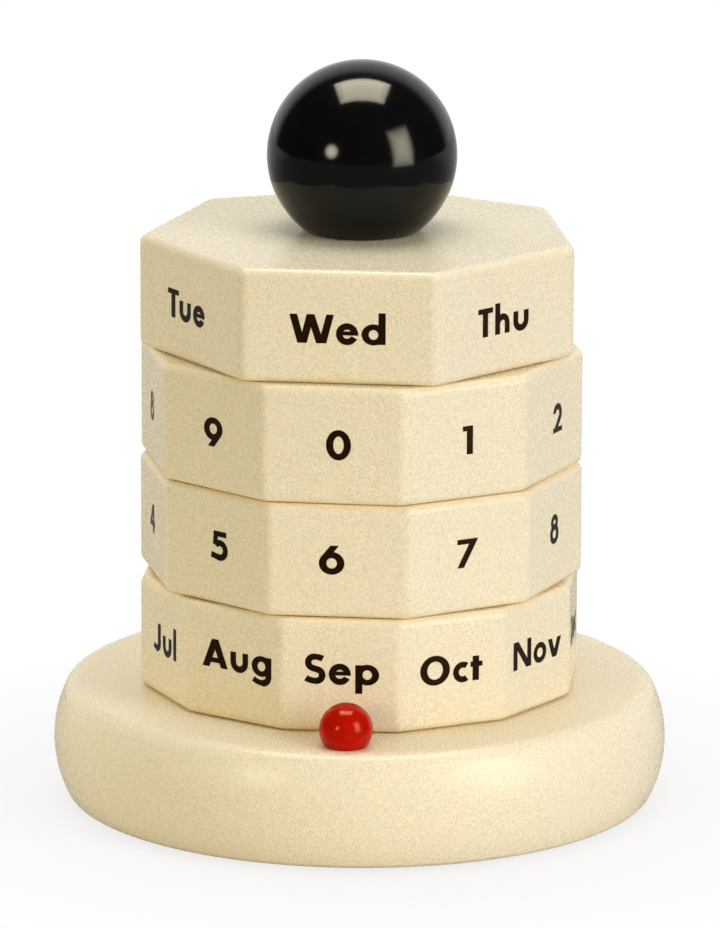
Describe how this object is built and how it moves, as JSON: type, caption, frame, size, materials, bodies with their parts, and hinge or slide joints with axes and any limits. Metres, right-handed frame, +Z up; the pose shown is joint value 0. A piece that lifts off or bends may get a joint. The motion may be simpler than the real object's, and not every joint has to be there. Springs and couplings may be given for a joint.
{
  "type": "perpetual desk calendar",
  "caption": "Perpetual desk calendar: lettered rings turn on an upright spindle between a round base and a ball knob; a small ball on the base marks the side that is read.",
  "frame": {"origin": "centre of the base on the surface that the calendar stands on", "axes": "+Z up along the spindle that the rings turn on; -Y is the side that is read, where the index ball stands; +X is to the right as it is read"},
  "size_m": [0.114, 0.114, 0.1385],
  "materials": {
    "cream_lacquer": "satin cream lacquer on turned and milled hardwood",
    "black_lacquer": "high gloss black lacquer on a turned wooden ball",
    "red_lacquer": "high gloss red lacquer on a turned wooden ball",
    "felt": "pressed wool felt, dark green",
    "zinc_steel": "bright zinc plated steel",
    "spring_steel": "oiled spring steel",
    "sleeve_brass": "drawn brass, satin",
    "nylon": "natural nylon"
  },
  "bodies": {
    "stand": {"base": "cream_lacquer", "base_felt": "felt", "spindle_bolt": "zinc_steel", "bolt_washer": "zinc_steel", "axle_sleeve": "sleeve_brass", "month_washer": "nylon", "units_washer": "nylon", "tens_washer": "nylon", "weekday_washer": "nylon", "knob_spring_washer": "spring_steel", "knob_ball": "black_lacquer", "knob_insert": "sleeve_brass", "index_ball": "red_lacquer", "index_pin": "zinc_steel"},
    "month_ring": {"month_ring": "cream_lacquer"},
    "units_ring": {"units_ring": "cream_lacquer"},
    "tens_ring": {"tens_ring": "cream_lacquer"},
    "weekday_ring": {"weekday_ring": "cream_lacquer"}
  },
  "joints": [
    {"name": "month_turn", "type": "hinge", "parent": "stand", "child": "month_ring", "pos_m": [0, 0, 0.033], "axis": [0, 0, 1], "continuous": true},
    {"name": "units_turn", "type": "hinge", "parent": "stand", "child": "units_ring", "pos_m": [0, 0, 0.0543], "axis": [0, 0, 1], "continuous": true},
    {"name": "tens_turn", "type": "hinge", "parent": "stand", "child": "tens_ring", "pos_m": [0, 0, 0.0756], "axis": [0, 0, 1], "continuous": true},
    {"name": "weekday_turn", "type": "hinge", "parent": "stand", "child": "weekday_ring", "pos_m": [0, 0, 0.0969], "axis": [0, 0, 1], "continuous": true}
  ]
}
